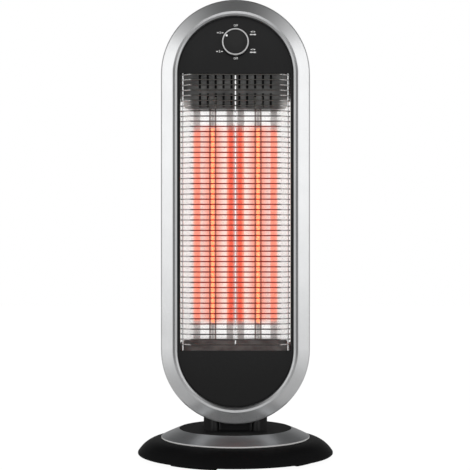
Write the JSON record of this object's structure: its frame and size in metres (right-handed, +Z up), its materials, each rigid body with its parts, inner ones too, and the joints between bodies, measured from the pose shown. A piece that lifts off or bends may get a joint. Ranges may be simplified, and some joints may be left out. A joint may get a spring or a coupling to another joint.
{
  "type": "carbon heater",
  "caption": "Free-standing carbon heater: flat head with round ends, glowing tubes behind a wire guard, on a short neck that swings on a round base.",
  "frame": {"origin": "on the floor under the middle of the base, on the swing axis", "axes": "+Z up, the front with the guard and the knob faces -Y, +X to the viewer's right"},
  "size_m": [0.28, 0.28, 0.6495],
  "materials": {
    "silver_paint": "satin silver, softly reflecting",
    "fascia_black": "semi-gloss black",
    "shell_black": "fine-textured matt black",
    "guard_wire": "bright plated wire",
    "reflector_sheet": "polished sheet",
    "panel_grey": "heat-proof dark grey paint",
    "quartz": "clear quartz",
    "glowing_carbon": "glowing orange-red",
    "plated_steel": "zinc-plated",
    "cap_ceramic": "unglazed white ceramic",
    "inner_black": "matt black",
    "block_ivory": "ivory plastic",
    "brass": "turned brass",
    "knob_black": "semi-gloss black",
    "rim_silver": "bright silver",
    "dot_white": "white paint",
    "lead_black": "heat-proof sleeve",
    "lead_blue": "heat-proof sleeve",
    "base_black": "glossy black",
    "washer_nylon": "plain nylon",
    "motor_can": "plated can",
    "plate_black": "black paint",
    "ballast_iron": "rough casting",
    "foot_rubber": "matt rubber"
  },
  "bodies": {
    "base": {"thrust_washer": "washer_nylon", "swing_motor": "motor_can", "motor_screws": "plated_steel", "base_shell": "base_black", "base_trim": "silver_paint", "base_plate": "plate_black", "base_screws": "plated_steel", "ballast": "ballast_iron", "foot_pads": "foot_rubber", "plunger_spring": "plated_steel", "tip_bracket": "plated_steel", "tip_screws": "plated_steel", "tip_switch": "inner_black", "cord_inlet": "foot_rubber", "base_supply_lead": "lead_black"},
    "head": {"front_ring": "silver_paint", "front_fascia": "fascia_black", "rear_shell": "shell_black", "guard_cross_wires": "guard_wire", "guard_uprights": "guard_wire", "reflector": "reflector_sheet", "vent_panel": "panel_grey", "sill_panel": "panel_grey", "quartz_tube_left": "quartz", "quartz_tube_right": "quartz", "carbon_coil_left": "glowing_carbon", "carbon_coil_right": "glowing_carbon", "coil_tails": "plated_steel", "tube_caps": "cap_ceramic", "tube_bracket_upper": "plated_steel", "tube_bracket_lower": "plated_steel", "bracket_screws": "plated_steel", "thermal_cutout": "inner_black", "terminal_block": "block_ivory", "rotary_switch": "inner_black", "switch_screws": "plated_steel", "switch_leads": "lead_black", "upper_tube_leads": "lead_black", "lower_tube_leads": "lead_blue", "head_supply_lead": "lead_black", "case_screws": "plated_steel", "reflector_screws": "plated_steel", "neck": "base_black", "turntable": "base_black", "neck_screws": "plated_steel", "spindle": "plated_steel", "spindle_screws": "plated_steel", "lower_washer": "washer_nylon", "swing_lever": "plated_steel"},
    "knob": {"control_knob": "knob_black", "knob_rim": "rim_silver", "knob_pointer": "dot_white", "switch_shaft": "brass"},
    "crank": {"crank": "washer_nylon", "motor_shaft": "plated_steel"},
    "link": {"link": "washer_nylon"},
    "plunger": {"tip_plunger": "washer_nylon"}
  },
  "joints": [
    {"name": "head_swing", "type": "hinge", "parent": "base", "child": "head", "pos_m": [0, 0, 0.0385], "axis": [0, 0, 1], "range_deg": [-34, 34]},
    {"name": "knob_turn", "type": "hinge", "parent": "head", "child": "knob", "pos_m": [0, -0.045, 0.58938], "axis": [0, -1, 0], "continuous": true},
    {"name": "crank_turn", "type": "hinge", "parent": "base", "child": "crank", "pos_m": [0.00705, 0.05, 0.0218], "axis": [0, 0, 1], "range_deg": [-70, 70]},
    {"name": "link_turn", "type": "hinge", "parent": "crank", "child": "link", "pos_m": [0.016, 0.05, 0.0241], "axis": [0, 0, 1], "range_deg": [-70, 70]},
    {"name": "plunger_slide", "type": "slide", "parent": "base", "child": "plunger", "axis": [0, 0, -1], "range_m": [0, 0.005], "stiffness_N_per_m": 100, "springref_m": 0.007, "deforming": ["plunger_spring"]}
  ],
  "couplings": [
    {"joint": "crank_turn", "follows": "head_swing", "ratio": 2},
    {"joint": "link_turn", "follows": "head_swing", "ratio": -2}
  ]
}
